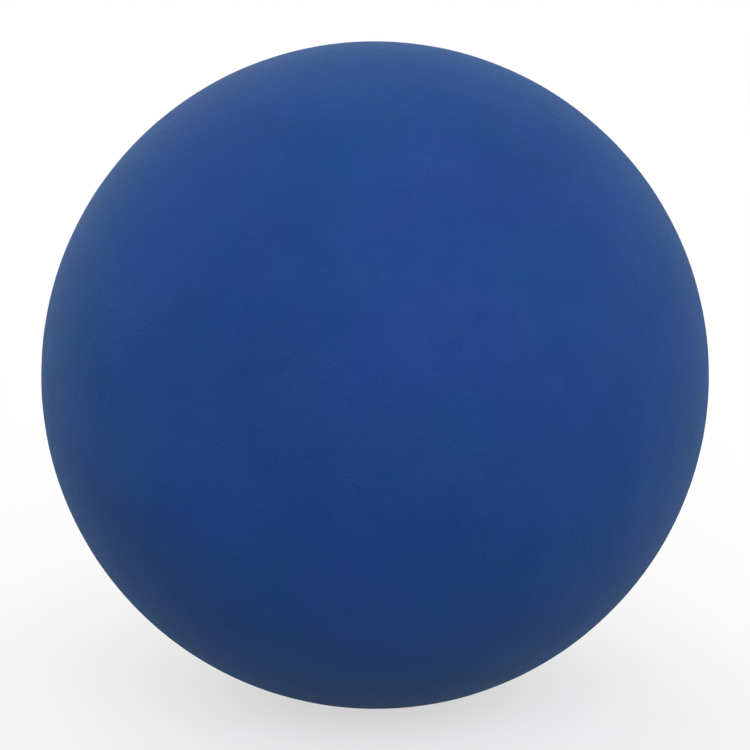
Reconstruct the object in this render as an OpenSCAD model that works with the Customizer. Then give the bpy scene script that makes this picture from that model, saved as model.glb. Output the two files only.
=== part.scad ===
// Frontenis ball: a hollow, pressurised rubber ball, cemented together from two moulded halves.
// The origin is the ball's centre. The halves' poles lie on the Y axis, so the seam is the XZ plane.

/* [Ball] */
// Outside diameter of the finished ball
ball_d = 50; // [46:0.5:58]
// Thickness of the rubber wall
wall_t = 5.2; // [3:0.1:8]

/* [Seam] */
// Thickness of the cement film between the two rims
film_t = 0.2; // [0.1:0.05:0.4]
// Width of the bead of cement that is squeezed out inside
bead_w = 2.4; // [1.2:0.1:4]
// Height of that bead above the inner wall
bead_h = 0.5; // [0.3:0.05:1]

/* [Hidden] */
$fn = 128;

ball_r = ball_d / 2;
cavity_r = ball_r - wall_t;

// The bead's face is an arc through its two edges, which lie on the cavity wall, and its crest.
bead_edge_r = sqrt(cavity_r ^ 2 - (bead_w / 2) ^ 2);
bead_crest_r = cavity_r - bead_h;
bead_arc_x = (cavity_r ^ 2 - bead_crest_r ^ 2) / (2 * (bead_edge_r - bead_crest_r));
bead_arc_r = bead_arc_x - bead_crest_r;

RUBBER_BLUE = "#254286";
CEMENT_BLUE = "#1b3161";

// Section of the whole wall, on both sides of the seam
module wall_section() {
  difference() {
    circle(ball_r);
    circle(cavity_r);
  }
}

// Section of one half: the wall from the rim, half a film off the seam, to the pole on +Y of the drawing
module half_section() {
  intersection() {
    wall_section();
    translate([0, film_t / 2])
      square([ball_r, ball_r]);
  }
}

// Section of the cement: the film across the wall, flush with the ball, and the bead inside it
module cement_section() {
  intersection() {
    wall_section();
    translate([0, -film_t / 2])
      square([ball_r, film_t]);
  }
  intersection() {
    circle(cavity_r);
    translate([bead_arc_x, 0])
      circle(bead_arc_r);
  }
}

// One moulded half, with its pole on +Z and its flat rim half a film above the seam plane
module half_shell() {
  rotate_extrude()
    half_section();
}

module front_half_shell() {
  color(RUBBER_BLUE)
    rotate([90, 0, 0])
      half_shell();
}

module rear_half_shell() {
  color(RUBBER_BLUE)
    rotate([-90, 0, 0])
      half_shell();
}

module seam_cement() {
  color(CEMENT_BLUE)
    rotate([90, 0, 0])
      rotate_extrude()
        cement_section();
}

front_half_shell();
rear_half_shell();
seam_cement();
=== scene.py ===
"""A frontenis ball: two buffed halves of matt blue rubber, cemented together at a fine seam."""

import math
from types import SimpleNamespace
from typing import NamedTuple

import bpy
import numpy as np
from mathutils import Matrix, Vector, noise


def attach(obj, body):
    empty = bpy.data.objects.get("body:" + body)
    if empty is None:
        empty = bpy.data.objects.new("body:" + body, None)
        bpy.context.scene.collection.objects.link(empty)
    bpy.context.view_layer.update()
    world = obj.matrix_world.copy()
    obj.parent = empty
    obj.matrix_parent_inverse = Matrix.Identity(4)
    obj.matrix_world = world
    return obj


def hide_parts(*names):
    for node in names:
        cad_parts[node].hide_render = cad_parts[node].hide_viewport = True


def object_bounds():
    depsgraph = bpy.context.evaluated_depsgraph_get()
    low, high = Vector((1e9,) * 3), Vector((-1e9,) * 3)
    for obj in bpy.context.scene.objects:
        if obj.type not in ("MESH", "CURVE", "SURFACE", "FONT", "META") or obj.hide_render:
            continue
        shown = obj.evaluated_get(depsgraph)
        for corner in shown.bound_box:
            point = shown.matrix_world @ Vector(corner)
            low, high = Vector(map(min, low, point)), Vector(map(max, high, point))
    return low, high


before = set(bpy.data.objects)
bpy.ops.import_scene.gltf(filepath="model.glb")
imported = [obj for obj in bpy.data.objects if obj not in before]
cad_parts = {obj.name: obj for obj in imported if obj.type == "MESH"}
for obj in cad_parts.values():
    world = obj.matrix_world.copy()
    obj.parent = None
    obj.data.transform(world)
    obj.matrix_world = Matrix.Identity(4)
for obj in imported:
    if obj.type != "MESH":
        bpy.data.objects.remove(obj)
cad_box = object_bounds()

MM = 0.001  # a millimetre, in metres
SEED_STEP = 31.7  # between the places in the noise where two seeds start


class Wander(NamedTuple):
    """Smooth unevenness: its size, the distance over which it comes and goes, and its seed."""

    size: float
    span: float
    seed: int

    def at(self, points):
        """The unevenness at each of the points."""
        away = Vector.Fill(3, SEED_STEP * self.seed)
        return self.size * np.array([noise.noise(Vector(point) / self.span + away) for point in points])


# The photograph is square, with the ball in its middle.
PHOTO_PX = 750
BALL_PX = 669
LENS_MM = 85
SENSOR_MM = 36
CAMERA_RISE = math.radians(8)

# The buffed surface of the rubber, which wanders a little below a true sphere
SWELL = Wander(0.030 * MM, 17 * MM, seed=1)
RIPPLE = Wander(0.010 * MM, 3.2 * MM, seed=2)

# The seam: each rim's edge was buffed round, and the cement between them lies a little lower.
EDGE_ROUND = 0.045 * MM
EDGE_VARIES = Wander(0.025 * MM, 1.3 * MM, seed=3)
CEMENT_RECESS = 0.010 * MM
RECESS_VARIES = Wander(0.015 * MM, 0.8 * MM, seed=4)
BEAD_VARIES = Wander(0.12, 6 * MM, seed=5)  # as a share of the bead's height

# How finely the pieces are meshed: each dome is a square grid, drawn out round
DOME_CELLS = 120
RIM_STEPS = 4 * DOME_CELLS
SHOULDER_BAND = 0.9 * MM  # beside the seam, where the loops of points lie closer
SHOULDER_LOOPS = 4
EDGE_LOOPS = 3
BEAD_LOOPS = 9
SHARP_ANGLE = math.radians(60)

# A half's flat map: its outside is a large disc, and its rim and cavity are small ones in two corners
MAP_NAME = "OFBake"
OUTSIDE_SPOT = (0.5, 0.5)
OUTSIDE_MAP_R = 0.49
RIM_SPOT = (0.09, 0.09)
CAVITY_SPOT = (0.91, 0.91)
SMALL_MAP_R = 0.08

# Colours, in linear light
RUBBER_BLUE = (0.0144, 0.0568, 0.2415, 1)
RUBBER_TEAL = (0.0129, 0.0608, 0.2343, 1)
RUBBER_VIOLET = (0.0169, 0.0538, 0.2487, 1)
GROUND_BLUE = (0.0200, 0.0660, 0.2480, 1)
FILLER_FLECK = (0.0600, 0.1200, 0.3300, 1)
BLOOM_GREY = (0.1500, 0.1900, 0.2900, 1)
CEMENT_NAVY = (0.0105, 0.0390, 0.1600, 1)
# Painted shade: a dark colour laid into the pits, which are only bumps, where shade would fall in them
PIT_PAINTED_SHADE = (0.0065, 0.0200, 0.0900, 1)
SHEEN_TINT = (0.5900, 1.0000, 0.8600, 1)
WHITE = (1, 1, 1, 1)


# Sizes of the ball's solids

def node_points(name):
    """The corners of a CAD node's mesh."""
    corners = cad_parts[name].data.vertices
    flat = np.empty(len(corners) * 3, np.float32)
    corners.foreach_get("co", flat)
    return flat.reshape(-1, 3).astype(float)


def measure_ball():
    """The radii of the ball's solids, and the sizes of its seam."""
    half = node_points("front_half_shell")
    cement = node_points("seam_cement")
    from_centre = np.linalg.norm(half, axis=1)
    return SimpleNamespace(
        outer_r=from_centre.max(),
        cavity_r=from_centre.min(),
        rim_y=np.abs(half[:, 1]).min(),
        bead_y=np.abs(cement[:, 1]).max(),
        crest_r=np.hypot(cement[:, 0], cement[:, 2]).min(),
    )


ball = measure_ball()


# Meshes

def buffed_down(points):
    """A true sphere's points, moved down to the buffed surface."""
    away = points / np.linalg.norm(points, axis=1, keepdims=True)
    height = SWELL.at(points) + RIPPLE.at(points) - SWELL.size - RIPPLE.size
    return points + away * height[:, None]


def disc_grid(cells):
    """A square grid drawn out to a unit disc: its points, its quads and the loop round its rim."""
    # Each square ring of the grid becomes a circle of the same reach.
    steps = np.linspace(-1, 1, cells + 1)
    across, along = np.meshgrid(steps, steps, indexing="ij")
    wide = np.abs(across) > np.abs(along)
    reach = np.where(wide, across, along)
    safe_reach = np.where(reach == 0, 1, reach)
    lean = np.where(wide, along, across) / safe_reach * (math.pi / 4)
    turn = np.where(wide, lean, math.pi / 2 - lean)
    points = np.stack([reach * np.cos(turn), reach * np.sin(turn)], axis=-1).reshape(-1, 2)

    ids = np.arange((cells + 1) ** 2).reshape(cells + 1, cells + 1)
    quads = np.stack([ids[:-1, :-1], ids[1:, :-1], ids[1:, 1:], ids[:-1, 1:]], axis=-1).reshape(-1, 4)
    rim = np.concatenate([ids[:-1, 0], ids[-1, :-1], ids[:0:-1, -1], ids[0, :0:-1]])
    return points, quads, rim


def strip_quads(first_loop, second_loop):
    """Quads that join two closed loops of as many points."""
    first_next = np.roll(first_loop, -1)
    second_next = np.roll(second_loop, -1)
    return np.stack([first_loop, first_next, second_next, second_loop], axis=-1)


def turned_points(outward, radius, height):
    """Points at a radius from the Y axis, in the given directions, and at a height along it."""
    across, up = outward.T
    height = np.broadcast_to(height, len(outward))
    return np.stack([radius * across, height, radius * up], axis=-1)


def dome_points(disc, radius, edge_y, side):
    """A disc grid's points laid over a sphere, from its pole to the circle at edge_y from the seam."""
    reach = np.linalg.norm(disc, axis=1)
    outward = disc / np.where(reach == 0, 1, reach)[:, None]
    from_pole = reach * math.acos(edge_y / radius)
    return turned_points(outward, radius * np.sin(from_pole), side * radius * np.cos(from_pole))


class FaceSet(NamedTuple):
    """The faces of one finish: their corner points, and the corners' places on the flat map."""

    finish: bpy.types.Material
    faces: np.ndarray
    places: np.ndarray


def mesh_piece(name, points, face_sets):
    """A smooth mesh object with a flat map."""
    mesh = bpy.data.meshes.new(name)
    faces = np.concatenate([face_set.faces for face_set in face_sets])
    mesh.from_pydata(points.tolist(), [], faces.tolist())
    counts = [len(face_set.faces) for face_set in face_sets]
    mesh.polygons.foreach_set("material_index", np.repeat(np.arange(len(face_sets)), counts))
    for face_set in face_sets:
        mesh.materials.append(face_set.finish)
    places = np.concatenate([face_set.places for face_set in face_sets])
    mesh.uv_layers.new(name=MAP_NAME).data.foreach_set("uv", places.astype(np.float32).ravel())
    mesh.shade_smooth()
    mesh.set_sharp_from_angle(angle=SHARP_ANGLE)
    mesh.update()
    piece = bpy.data.objects.new(name, mesh)
    bpy.context.collection.objects.link(piece)
    return piece


def shoulder_loops(outward, side):
    """Loops of points from a half's dome down the sphere, then round its edge to the flat rim."""
    noise_spots = turned_points(outward, ball.outer_r, side * ball.outer_r)  # differ from half to half
    edge = EDGE_ROUND + EDGE_VARIES.at(noise_spots)
    loops = []
    for step in range(1, SHOULDER_LOOPS + 1):
        share = (1 - step / SHOULDER_LOOPS) ** 2
        height = ball.rim_y + edge + share * (SHOULDER_BAND - edge)
        radius = np.sqrt(ball.outer_r**2 - height**2)
        loops.append(buffed_down(turned_points(outward, radius, side * height)))

    edge_r = np.linalg.norm(loops[-1], axis=1)
    for step in range(1, EDGE_LOOPS + 1):
        turn = step / EDGE_LOOPS * math.pi / 2
        radius = edge_r - edge * (1 - math.cos(turn))
        height = ball.rim_y + edge * (1 - math.sin(turn))
        loops.append(turned_points(outward, radius, side * height))
    return loops


def half_maps(points, side):
    """Where a half's points lie on its flat map: as its outside, as its rim and as its cavity."""
    flat = points[:, [0, 2]]
    away = np.linalg.norm(flat, axis=1)
    outward = flat / np.where(away == 0, 1, away)[:, None]
    by_angle = np.arctan2(away, side * points[:, 1]) / (math.pi / 2)
    by_radius = away / ball.outer_r
    discs = (
        (OUTSIDE_SPOT, OUTSIDE_MAP_R, by_angle),
        (RIM_SPOT, SMALL_MAP_R, by_radius),
        (CAVITY_SPOT, SMALL_MAP_R, by_angle),
    )
    return [middle + map_r * reach[:, None] * outward for middle, map_r, reach in discs]


def half_shell_piece(name, side, finishes):
    """One half of the rubber wall. Side is -1 for the half with its pole on -Y, and 1 for the other."""
    disc, quads, rim = disc_grid(DOME_CELLS)
    outside = buffed_down(dome_points(disc, ball.outer_r, ball.rim_y + SHOULDER_BAND, side))
    shoulder = shoulder_loops(disc[rim], side)
    cavity = dome_points(disc, ball.cavity_r, ball.rim_y, side)
    points = np.concatenate([outside, *shoulder, cavity])

    cavity_start = len(points) - len(cavity)
    shoulder_ids = np.arange(len(outside), cavity_start).reshape(len(shoulder), RIM_STEPS)
    loops = [rim, *shoulder_ids, rim + cavity_start]
    strips = [strip_quads(first, second) for first, second in zip(loops, loops[1:])]
    outside_faces = np.concatenate([quads[:, ::-1], *strips[:-1]])
    rim_faces = strips[-1]
    cavity_faces = quads + cavity_start

    face_sets = []
    face_groups = (outside_faces, rim_faces, cavity_faces)
    for finish, faces, places in zip(finishes, face_groups, half_maps(points, side)):
        turned_out = faces[:, ::side]  # turned over on one half, so that both look outward
        face_sets.append(FaceSet(finish, turned_out, places[turned_out]))
    return mesh_piece(name, points, face_sets)


def ring_places(loop_count):
    """A ring's flat map: once round the ring from left to right, and once round its section upward."""
    left = np.arange(RIM_STEPS) / RIM_STEPS
    right = left + 1 / RIM_STEPS
    strips = []
    for loop in range(loop_count):
        low = np.full(RIM_STEPS, loop / loop_count)
        high = low + 1 / loop_count
        corners = ((left, low), (right, low), (right, high), (left, high))
        strips.append(np.stack([np.stack(corner, axis=-1) for corner in corners], axis=1))
    return np.concatenate(strips)


def seam_cement_piece(name, finish):
    """The cement ring: a film, a little lower than the rubber's edges, and the bead in the cavity."""
    turns = np.linspace(0, 2 * math.pi, RIM_STEPS, endpoint=False)
    outward = np.stack([np.cos(turns), np.sin(turns)], axis=-1)
    circle = turned_points(outward, ball.outer_r, 0.0)
    film_r = np.linalg.norm(buffed_down(circle), axis=1) - CEMENT_RECESS
    sunk_r = film_r - RECESS_VARIES.size + RECESS_VARIES.at(circle)
    inner_rim_r = math.sqrt(ball.cavity_r**2 - ball.rim_y**2)
    bead_edge_r = math.sqrt(ball.cavity_r**2 - ball.bead_y**2)
    bead_height = (bead_edge_r - ball.crest_r) * (1 + BEAD_VARIES.at(circle))

    # Once round the ring's section: its outer face, one side, the bead and the other side
    section = [(film_r, ball.rim_y), (sunk_r, 0.0), (film_r, -ball.rim_y), (inner_rim_r, -ball.rim_y)]
    for share in np.linspace(-1, 1, BEAD_LOOPS):
        section.append((bead_edge_r - bead_height * (1 - share**2), share * ball.bead_y))
    section.append((inner_rim_r, ball.rim_y))

    points = np.concatenate([turned_points(outward, radius, height) for radius, height in section])
    loops = np.arange(len(points)).reshape(len(section), RIM_STEPS)
    faces = np.concatenate([strip_quads(*pair) for pair in zip(loops, np.roll(loops, -1, axis=0))])
    return mesh_piece(name, points, [FaceSet(finish, faces, ring_places(len(section)))])


# Node trees

COLOUR = "NodeSocketColor"
VALUE = "NodeSocketFloat"
MIX_SHARE, MIX_LOW, MIX_HIGH, MIX_COLOUR = 0, 6, 7, 2  # a Mix node's sockets for colours
NOISE_MIDDLE = 0.5
MOST_NOISE = (0.35, 0.65)  # where most of a noise's values lie
NOISE_PEAKS = (0.64, 0.75)  # where only its peaks reach


class Shading:
    """A node tree, with short calls that add its nodes and join them. Lengths are in millimetres."""

    def __init__(self, tree):
        self.tree = tree

    def add(self, kind, sockets=(), **settings):
        """A new node with these settings, and with a value or a link for each of these sockets."""
        node = self.tree.nodes.new(kind)
        for name, value in settings.items():
            setattr(node, name, value)
        for name, value in dict(sockets).items():
            self.feed(value, node.inputs[name])
        return node

    def feed(self, value, socket):
        """Links a socket to the one that it takes its value from, or sets a plain value on it."""
        if isinstance(value, bpy.types.NodeSocket):
            self.tree.links.new(value, socket)
        else:
            socket.default_value = value

    def group(self, tree, sockets=()):
        return self.add("ShaderNodeGroup", node_tree=tree, sockets=sockets).outputs

    def math(self, operation, *values):
        return self.add("ShaderNodeMath", enumerate(values), operation=operation).outputs[0]

    def mix(self, share, low, high):
        sockets = {MIX_SHARE: share, MIX_LOW: low, MIX_HIGH: high}
        return self.add("ShaderNodeMix", sockets, data_type="RGBA").outputs[MIX_COLOUR]

    def ramp(self, value, start, end, low=0.0, high=1.0):
        """A smooth step from low to high, as the value goes from start to end."""
        sockets = {"Value": value, "From Min": start, "From Max": end, "To Min": low, "To Max": high}
        return self.add("ShaderNodeMapRange", sockets, interpolation_type="SMOOTHSTEP").outputs[0]

    def scaled(self, vector, factor):
        sockets = {0: vector, "Scale": factor}
        return self.add("ShaderNodeVectorMath", sockets, operation="SCALE").outputs[0]

    def millimetres(self):
        """The place in the ball's own frame, in millimetres."""
        return self.scaled(self.add("ShaderNodeTexCoord").outputs["Object"], 1 / MM)

    def noise(self, spot, span, detail=2.0, roughness=0.5):
        scale = self.math("DIVIDE", 1.0, span)
        sockets = {"Vector": spot, "Scale": scale, "Detail": detail, "Roughness": roughness}
        return self.add("ShaderNodeTexNoise", sockets).outputs[0]

    def streaks(self, spot, lengths):
        """Noise with a span of its own along each of X, Y and Z."""
        sockets = {0: spot, 1: lengths}
        drawn_out = self.add("ShaderNodeVectorMath", sockets, operation="DIVIDE").outputs[0]
        return self.noise(drawn_out, 1.0)


def new_group(name, inputs, outputs):
    """An empty node group with named sockets: its calls, what it takes in and what it gives out."""
    tree = bpy.data.node_groups.new(name, "ShaderNodeTree")
    for label, value in inputs.items():
        kind = COLOUR if isinstance(value, tuple) else VALUE
        tree.interface.new_socket(label, in_out="INPUT", socket_type=kind).default_value = value
    for label, kind in outputs.items():
        tree.interface.new_socket(label, in_out="OUTPUT", socket_type=kind)
    shading = Shading(tree)
    taken = shading.add("NodeGroupInput").outputs
    given = shading.add("NodeGroupOutput").inputs
    return shading, taken, given


def pigment_cloud_group():
    """Pigment that drifts slowly in hue and depth through a rubber, with flecks of filler."""
    inputs = {
        "Colour": RUBBER_BLUE,
        "Cool": RUBBER_TEAL,
        "Warm": RUBBER_VIOLET,
        "Fleck": FILLER_FLECK,
        "Hue Span": 8.0,
        "Hue Drift": 0.7,
        "Depth Span": 10.0,
        "Depth Drift": 0.24,
        "Fleck Span": 0.14,
        "Flecks": 0.15,
    }
    g, taken, given = new_group("pigment_cloud", inputs, {"Colour": COLOUR})
    spot = g.millimetres()
    hue = g.ramp(g.noise(spot, taken["Hue Span"], detail=3.0), *MOST_NOISE)
    tint = g.mix(hue, taken["Cool"], taken["Warm"])
    drifted = g.mix(taken["Hue Drift"], taken["Colour"], tint)

    cloud = g.noise(spot, taken["Depth Span"], detail=4.0, roughness=0.7)
    swing = g.math("MULTIPLY_ADD", cloud, 2.0, -1.0)
    deepened = g.scaled(drifted, g.math("MULTIPLY_ADD", swing, taken["Depth Drift"], 1.0))

    fleck = g.ramp(g.noise(spot, taken["Fleck Span"], detail=1.0), *NOISE_PEAKS)
    share = g.math("MULTIPLY", fleck, taken["Flecks"])
    g.feed(g.mix(share, deepened, taken["Fleck"]), given["Colour"])
    return g.tree


SCRATCH_SPANS = (1.9, 3.1)
SCRATCH_WIDTH = 0.012  # how near to its middle a noise's value has to be
SCRATCH_LENGTH = 0.9
PIT_SPACING = 2.2
PIT_SOFTNESS = 0.04
PIT_CHANCE = (0.5, 1.0)  # from the cells that hold none to those that hold the widest


def buffed_grain_group():
    """Relief of rubber tumbled in grit: fine grain, hairline scratches every way, and a few pits."""
    inputs = {
        "Grain Span": 0.15,
        "Nap Span": 0.7,
        "Nap": 0.3,
        "Scratches": 0.12,
        "Pits": 0.3,
        "Pit Radius": 0.11,
    }
    outputs = {"Height": VALUE, "Scratch": VALUE, "Pit": VALUE}
    g, taken, given = new_group("buffed_grain", inputs, outputs)
    spot = g.millimetres()
    grain = g.noise(spot, taken["Grain Span"], detail=3.0, roughness=0.6)
    nap = g.noise(spot, taken["Nap Span"])
    grain_share = g.math("SUBTRACT", 1.0, taken["Nap"])
    ground = g.math("MULTIPLY_ADD", nap, taken["Nap"], g.math("MULTIPLY", grain, grain_share))

    lines = 0.0
    for span in SCRATCH_SPANS:
        from_middle = g.math("ABSOLUTE", g.math("SUBTRACT", g.noise(spot, span), NOISE_MIDDLE))
        lines = g.math("MAXIMUM", g.ramp(from_middle, SCRATCH_WIDTH, 0.0), lines)
    scratch = g.math("MULTIPLY", lines, g.ramp(g.noise(spot, SCRATCH_LENGTH), *NOISE_PEAKS))

    cells = g.add("ShaderNodeTexVoronoi", {"Vector": spot, "Scale": 1 / PIT_SPACING}).outputs
    chance = g.add("ShaderNodeSeparateColor", {0: cells["Color"]}).outputs[0]
    pit_radius = g.math("MULTIPLY", g.ramp(chance, *PIT_CHANCE), taken["Pit Radius"])
    depth = g.math("SUBTRACT", pit_radius, g.math("MULTIPLY", cells["Distance"], PIT_SPACING))
    pit = g.math("MULTIPLY", g.ramp(depth, 0.0, PIT_SOFTNESS), taken["Pits"])

    scratched = g.math("SUBTRACT", ground, g.math("MULTIPLY", scratch, taken["Scratches"]))
    g.feed(g.math("SUBTRACT", scratched, pit), given["Height"])
    g.feed(scratch, given["Scratch"])
    g.feed(pit, given["Pit"])
    return g.tree


def bloom_group():
    """Thin, patchy grey film that old rubber sweats out and handling leaves behind."""
    inputs = {"Patch Span": 6.0, "Dust Span": 0.4, "Cover": 0.5}
    g, taken, given = new_group("bloom", inputs, {"Mask": VALUE})
    spot = g.millimetres()
    patch = g.ramp(g.noise(spot, taken["Patch Span"], detail=3.0, roughness=0.6), *MOST_NOISE)
    dust = g.ramp(g.noise(spot, taken["Dust Span"], detail=4.0, roughness=0.7), *MOST_NOISE)
    g.feed(g.math("MULTIPLY", g.math("MULTIPLY", patch, dust), taken["Cover"]), given["Mask"])
    return g.tree


SEAM_LINE_LENGTHS = (8.0, 0.09, 8.0)


def seam_band_group():
    """The ragged band where the seam was ground flush, and the fine lines along it."""
    inputs = {"Width": 1.6, "Ragged": 1.6, "Ragged Span": 1.6}
    g, taken, given = new_group("seam_band", inputs, {"Band": VALUE, "Lines": VALUE})
    spot = g.millimetres()
    from_seam = g.math("ABSOLUTE", g.add("ShaderNodeSeparateXYZ", {0: spot}).outputs["Y"])
    ragged = g.math("SUBTRACT", g.noise(spot, taken["Ragged Span"], detail=3.0), NOISE_MIDDLE)
    edge = g.math("MULTIPLY_ADD", ragged, taken["Ragged"], from_seam)
    band = g.ramp(edge, taken["Width"], 0.0)
    g.feed(band, given["Band"])
    g.feed(g.math("MULTIPLY", g.streaks(spot, SEAM_LINE_LENGTHS), band), given["Lines"])
    return g.tree


pigment_cloud = pigment_cloud_group()
buffed_grain = buffed_grain_group()
bloom = bloom_group()
seam_band = seam_band_group()


# Materials

RELIEF = (0.2, 0.8)  # from the low places of a finish to the high ones
LINE_HEIGHT = 0.3  # of the lines along the seam, against a finish's whole relief
DRY_GLOSS = 0.03  # of rubber with no skin on it

# How far each of these covers the colour below it
SCUFF_SHARE = 0.06
GROUND_SHARE = 0.35
SMEAR_SHARE = 0.7


def new_material(name):
    """A node material, and the calls and the Principled shader of its tree."""
    material = bpy.data.materials.new(name)
    material.use_nodes = True
    shader = material.node_tree.nodes["Principled BSDF"]
    return material, Shading(material.node_tree), shader


def set_relief(m, shader, height, depth_mm, roughness):
    """Gives a shader its relief, as bumps of a depth and as roughness from low places to high ones."""
    bump = m.add("ShaderNodeBump", {"Height": height, "Distance": depth_mm * MM})
    m.feed(bump.outputs[0], shader.inputs["Normal"])
    m.feed(m.ramp(height, *RELIEF, *roughness), shader.inputs["Roughness"])


def buffed_rubber():
    """The outside of each half: matt blue, with a fine buffed grain and a slight pale bloom."""
    material, m, shader = new_material("buffed_blue_rubber")
    pigment = m.group(pigment_cloud)
    grain = m.group(buffed_grain)
    film = m.group(bloom, {"Cover": 0.03})
    seam = m.group(seam_band)
    smear = m.group(seam_band, {"Width": 0.35, "Ragged": 1.3, "Ragged Span": 1.1})

    bloomed = m.mix(film["Mask"], pigment["Colour"], BLOOM_GREY)
    scuffed = m.mix(m.math("MULTIPLY", grain["Scratch"], SCUFF_SHARE), bloomed, BLOOM_GREY)
    ground = m.mix(m.math("MULTIPLY", seam["Band"], GROUND_SHARE), scuffed, GROUND_BLUE)
    smeared = m.mix(m.math("MULTIPLY", smear["Band"], SMEAR_SHARE), ground, CEMENT_NAVY)
    # Painted shade: the pits are darkened in the colour, as shade would fall in them
    m.feed(m.mix(grain["Pit"], smeared, PIT_PAINTED_SHADE), shader.inputs["Base Color"])

    lined = m.math("MULTIPLY_ADD", seam["Lines"], LINE_HEIGHT, grain["Height"])
    set_relief(m, shader, lined, depth_mm=0.11, roughness=(0.74, 0.62))
    shader.inputs["Specular IOR Level"].default_value = DRY_GLOSS
    shader.inputs["Sheen Weight"].default_value = 0.108
    shader.inputs["Sheen Roughness"].default_value = 0.46
    shader.inputs["Sheen Tint"].default_value = SHEEN_TINT
    return material


def ground_rim():
    """The flat rim of each half, ground coarse for the cement to hold."""
    material, m, shader = new_material("ground_rim_rubber")
    pigment = m.group(pigment_cloud, {"Colour": GROUND_BLUE, "Flecks": 0.6})
    grain = m.group(buffed_grain, {"Grain Span": 0.4, "Scratches": 0.4})
    m.feed(pigment["Colour"], shader.inputs["Base Color"])
    set_relief(m, shader, grain["Height"], depth_mm=0.2, roughness=(0.9, 0.75))
    shader.inputs["Specular IOR Level"].default_value = DRY_GLOSS
    return material


def moulded_rubber():
    """The inside of each half, as it left the mould: smoother, with a satin skin."""
    material, m, shader = new_material("moulded_blue_rubber")
    pigment = m.group(pigment_cloud, {"Flecks": 0.05})
    grain = m.group(buffed_grain, {"Grain Span": 0.9, "Scratches": 0.0})
    # Painted shade: the pits are darkened in the colour, as shade would fall in them
    m.feed(m.mix(grain["Pit"], pigment["Colour"], PIT_PAINTED_SHADE), shader.inputs["Base Color"])
    set_relief(m, shader, grain["Height"], depth_mm=0.08, roughness=(0.6, 0.45))
    shader.inputs["Specular IOR Level"].default_value = 0.3
    return material


def seam_cement():
    """Cured rubber cement: darker than the halves, and drawn into fine lines where it was ground."""
    material, m, shader = new_material("cured_rubber_cement")
    pigment_values = {
        "Colour": CEMENT_NAVY,
        "Hue Drift": 0.15,
        "Depth Span": 5.0,
        "Depth Drift": 0.6,
        "Flecks": 0.05,
    }
    pigment = m.group(pigment_cloud, pigment_values)
    grain = m.group(buffed_grain, {"Grain Span": 0.11, "Scratches": 0.05, "Pits": 0.6})
    film = m.group(bloom, {"Patch Span": 3.0, "Cover": 0.06})
    seam = m.group(seam_band)
    m.feed(m.mix(film["Mask"], pigment["Colour"], BLOOM_GREY), shader.inputs["Base Color"])
    lined = m.math("MULTIPLY_ADD", seam["Lines"], LINE_HEIGHT, grain["Height"])
    set_relief(m, shader, lined, depth_mm=0.1, roughness=(0.7, 0.55))
    shader.inputs["Specular IOR Level"].default_value = 0.04
    return material


# The ball

half_finishes = [buffed_rubber(), ground_rim(), moulded_rubber()]
front_half = half_shell_piece("front_rubber_half", -1, half_finishes)
rear_half = half_shell_piece("rear_rubber_half", 1, half_finishes)
cement_ring = seam_cement_piece("seam_cement_ring", seam_cement())

for piece, node, slot in (
    (front_half, "front_half_shell", "blue_rubber"),
    (rear_half, "rear_half_shell", "blue_rubber"),
    (cement_ring, "seam_cement", "rubber_cement"),
):
    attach(piece, "root")
    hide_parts(node)


# Floor, light and camera

FLOOR_REACH = 120 * ball.outer_r
FLOOR_SHARE = 0.4  # of the light on it, which the floor shows
FLOOR_BOUNCE = (0.29, 0.29, 0.29, 1)
SKY_LIGHT = 0.63
# In degrees: a lamp's rise above the floor, its turn to the camera's right, and how wide it looks
LAMPS = {
    "key": {"strength": 1.6, "rise": 24, "turn": 5, "width": 60},
    "right": {"strength": 0.55, "rise": 20, "turn": 90, "width": 70},
    "back_left": {"strength": 0.77, "rise": 25, "turn": -135, "width": 70},
}
LAMP_LIGHT = sum(
    lamp["strength"] * math.sin(math.radians(lamp["rise"])) for lamp in LAMPS.values()
) / math.pi
FLOOR_GLOW = 1 - FLOOR_SHARE * (SKY_LIGHT + LAMP_LIGHT)  # brings the open floor up to white


def seen_by_camera(m):
    """1 where the camera sees a surface, itself or in gloss or through glass, and 0 elsewhere."""
    path = m.add("ShaderNodeLightPath").outputs
    seen = m.math("MAXIMUM", path["Is Camera Ray"], path["Is Glossy Ray"])
    return m.math("MAXIMUM", seen, path["Is Transmission Ray"])


def pale_floor():
    """A white floor that keeps the ball's shadow, and that sends little light back up to the ball."""
    material, m, shader = new_material("pale_floor")
    material.node_tree.nodes.remove(shader)
    shown = (FLOOR_SHARE, FLOOR_SHARE, FLOOR_SHARE, 1)
    shadowed = m.add("ShaderNodeBsdfDiffuse", {"Color": shown}).outputs[0]
    glow = m.add("ShaderNodeEmission", {"Color": WHITE, "Strength": FLOOR_GLOW}).outputs[0]
    white = m.add("ShaderNodeAddShader", {0: shadowed, 1: glow}).outputs[0]
    dim = m.add("ShaderNodeBsdfDiffuse", {"Color": FLOOR_BOUNCE}).outputs[0]
    floor = m.add("ShaderNodeMixShader", {0: seen_by_camera(m), 1: dim, 2: white}).outputs[0]
    m.feed(floor, material.node_tree.nodes["Material Output"].inputs["Surface"])
    return material


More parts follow.
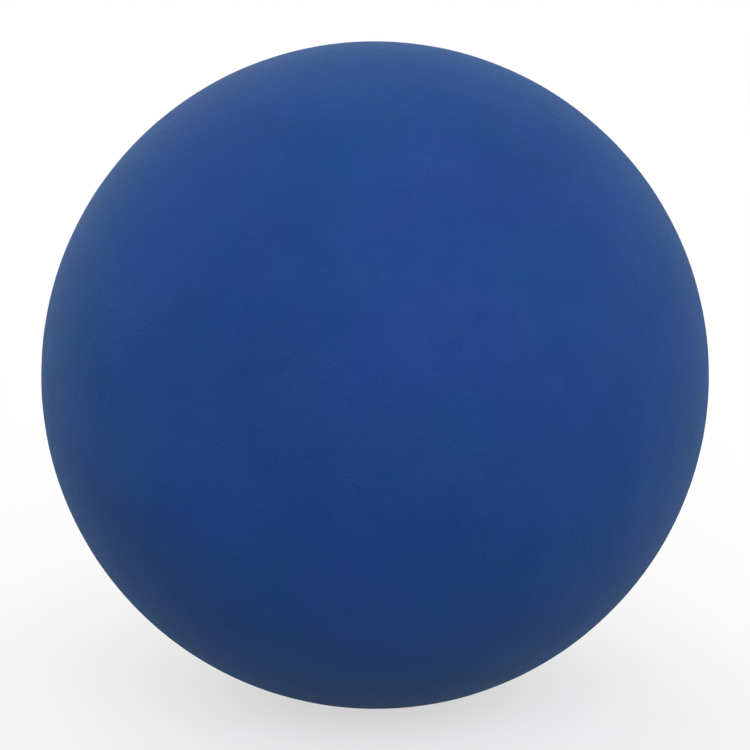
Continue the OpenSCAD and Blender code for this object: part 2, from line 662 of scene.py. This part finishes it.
def floor_piece():
    """A flat floor under the ball."""
    low = cad_box[0].z
    corners = [(x * FLOOR_REACH, y * FLOOR_REACH, low) for x, y in ((-1, -1), (1, -1), (1, 1), (-1, 1))]
    mesh = bpy.data.meshes.new("floor")
    mesh.from_pydata(corners, [], [(0, 1, 2, 3)])
    mesh.materials.append(pale_floor())
    floor = bpy.data.objects.new("floor", mesh)
    bpy.context.collection.objects.link(floor)


def studio_sky():
    """Soft even light from all round. The camera sees it as white."""
    world = bpy.data.worlds.new("studio")
    world.use_nodes = True
    w = Shading(world.node_tree)
    back = world.node_tree.nodes["Background"]
    w.feed(WHITE, back.inputs["Color"])
    w.feed(w.math("MAXIMUM", SKY_LIGHT, seen_by_camera(w)), back.inputs["Strength"])
    bpy.context.scene.world = world


def studio_lamp(name, strength, rise, turn, width):
    """A broad soft lamp, far enough away to light the floor evenly."""
    data = bpy.data.lights.new(name, "SUN")
    data.energy = strength
    data.angle = math.radians(width)
    lamp = bpy.data.objects.new(name, data)
    rise = math.radians(rise)
    turn = math.radians(turn)
    flat = math.cos(rise)
    towards = Vector((flat * math.sin(turn), -flat * math.cos(turn), math.sin(rise)))
    lamp.rotation_euler = towards.to_track_quat("Z", "Y").to_euler()
    bpy.context.collection.objects.link(lamp)


def photo_camera():
    """The photograph's view, with the ball as wide in the frame as it is there."""
    data = bpy.data.cameras.new("photo_view")
    data.lens = LENS_MM
    data.sensor_width = SENSOR_MM
    data.clip_start = MM
    camera = bpy.data.objects.new("photo_view", data)
    half_ball = math.atan(BALL_PX / PHOTO_PX * SENSOR_MM / 2 / LENS_MM)
    back = Vector((0, -math.cos(CAMERA_RISE), math.sin(CAMERA_RISE)))
    camera.location = back * ball.outer_r / math.sin(half_ball)
    camera.rotation_euler = back.to_track_quat("Z", "Y").to_euler()
    bpy.context.collection.objects.link(camera)
    bpy.context.scene.camera = camera


floor_piece()
studio_sky()
for name, values in LAMPS.items():
    studio_lamp(name, **values)
photo_camera()
bpy.context.scene.view_settings.view_transform = "Standard"
